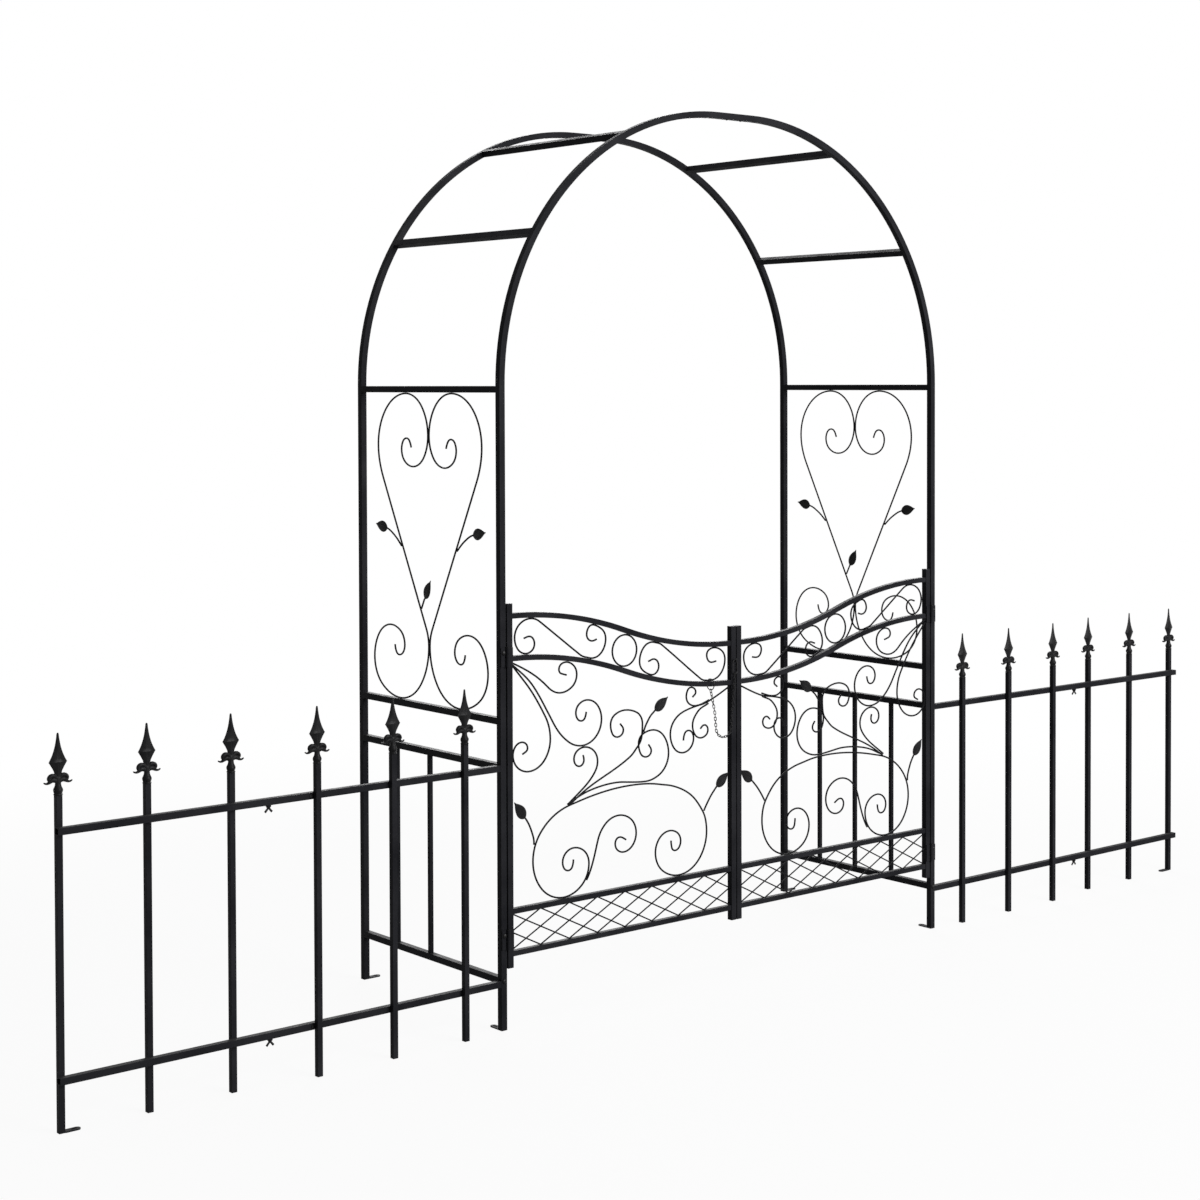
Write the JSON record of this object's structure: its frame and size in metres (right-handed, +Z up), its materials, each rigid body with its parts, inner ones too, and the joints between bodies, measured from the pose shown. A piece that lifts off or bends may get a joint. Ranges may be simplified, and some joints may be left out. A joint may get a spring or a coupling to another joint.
{
  "type": "garden arch with gate and fence wings",
  "caption": "Black steel garden arch with a double scrollwork gate, heart-scroll sides, a latch chain and sliding picket fence wings with spear finials.",
  "frame": {"origin": "on the ground, in the middle of the whole's bounding box", "axes": "+X to the right of someone who stands in front of the gate, +Y from the gate to the rear, +Z up"},
  "size_m": [3.802, 0.63, 2.239],
  "materials": {
    "frame_coat": "satin black powder coat",
    "wire_coat": "satin black powder coat",
    "cast_coat": "black coat on castings",
    "dark_hardware": "blackened hardware"
  },
  "bodies": {
    "arch": {"post_front_left": "frame_coat", "post_front_right": "frame_coat", "post_rear_left": "frame_coat", "post_rear_right": "frame_coat", "foot_tabs": "frame_coat", "side_rungs": "frame_coat", "side_bars": "frame_coat", "left_side_scrolls": "wire_coat", "right_side_scrolls": "wire_coat", "side_leaves": "cast_coat", "arch_front_left": "frame_coat", "arch_front_right": "frame_coat", "arch_rear_left": "frame_coat", "arch_rear_right": "frame_coat", "arch_sleeves": "dark_hardware", "arch_screws": "dark_hardware", "arch_rungs": "frame_coat", "post_hinges": "frame_coat", "hinge_pins": "dark_hardware", "post_bolts": "dark_hardware", "inner_rails": "frame_coat", "inner_pickets": "frame_coat", "inner_finials": "cast_coat", "spigots": "dark_hardware", "spigot_screws": "dark_hardware"},
    "left_leaf": {"left_hinge_stile": "frame_coat", "left_meeting_stile": "frame_coat", "left_top_rail": "frame_coat", "left_second_rail": "frame_coat", "left_lattice_rails": "frame_coat", "left_lattice": "wire_coat", "left_band_scrolls": "wire_coat", "left_panel_scrolls": "wire_coat", "left_gate_leaves": "cast_coat", "left_leaf_hinges": "frame_coat", "chain_links": "dark_hardware", "chain_rings": "dark_hardware", "chain_hook": "dark_hardware"},
    "right_leaf": {"right_hinge_stile": "frame_coat", "right_meeting_stile": "frame_coat", "right_top_rail": "frame_coat", "right_second_rail": "frame_coat", "right_lattice_rails": "frame_coat", "right_lattice": "wire_coat", "right_band_scrolls": "wire_coat", "right_panel_scrolls": "wire_coat", "right_gate_leaves": "cast_coat", "right_leaf_hinges": "frame_coat"},
    "left_wing": {"left_wing_rails": "frame_coat", "left_wing_pickets": "frame_coat", "left_wing_finials": "cast_coat", "left_wing_foot": "frame_coat"},
    "right_wing": {"right_wing_rails": "frame_coat", "right_wing_pickets": "frame_coat", "right_wing_finials": "cast_coat", "right_wing_foot": "frame_coat"},
    "left_lower_wing_bolt": {"left_lower_wing_bolt": "dark_hardware"},
    "left_upper_wing_bolt": {"left_upper_wing_bolt": "dark_hardware"},
    "right_lower_wing_bolt": {"right_lower_wing_bolt": "dark_hardware"},
    "right_upper_wing_bolt": {"right_upper_wing_bolt": "dark_hardware"}
  },
  "joints": [
    {"name": "left_leaf_swing", "type": "hinge", "parent": "arch", "child": "left_leaf", "pos_m": [-0.74, -0.306, 0.5], "axis": [0, 0, 1], "range_deg": [-110, 0]},
    {"name": "right_leaf_swing", "type": "hinge", "parent": "arch", "child": "right_leaf", "pos_m": [0.74, -0.306, 0.5], "axis": [0, 0, 1], "range_deg": [0, 110]},
    {"name": "left_wing_slide", "type": "slide", "parent": "arch", "child": "left_wing", "axis": [-1, 0, 0], "range_m": [0, 0.08]},
    {"name": "right_wing_slide", "type": "slide", "parent": "arch", "child": "right_wing", "axis": [1, 0, 0], "range_m": [0, 0.08]},
    {"name": "left_lower_wing_bolt_turn", "type": "hinge", "parent": "left_wing", "child": "left_lower_wing_bolt", "pos_m": [-1.383, -0.293, 0.097], "axis": [0, 0, 1], "continuous": true},
    {"name": "left_upper_wing_bolt_turn", "type": "hinge", "parent": "left_wing", "child": "left_upper_wing_bolt", "pos_m": [-1.383, -0.293, 0.613], "axis": [0, 0, 1], "continuous": true},
    {"name": "right_lower_wing_bolt_turn", "type": "hinge", "parent": "right_wing", "child": "right_lower_wing_bolt", "pos_m": [1.383, -0.293, 0.097], "axis": [0, 0, 1], "continuous": true},
    {"name": "right_upper_wing_bolt_turn", "type": "hinge", "parent": "right_wing", "child": "right_upper_wing_bolt", "pos_m": [1.383, -0.293, 0.613], "axis": [0, 0, 1], "continuous": true}
  ]
}
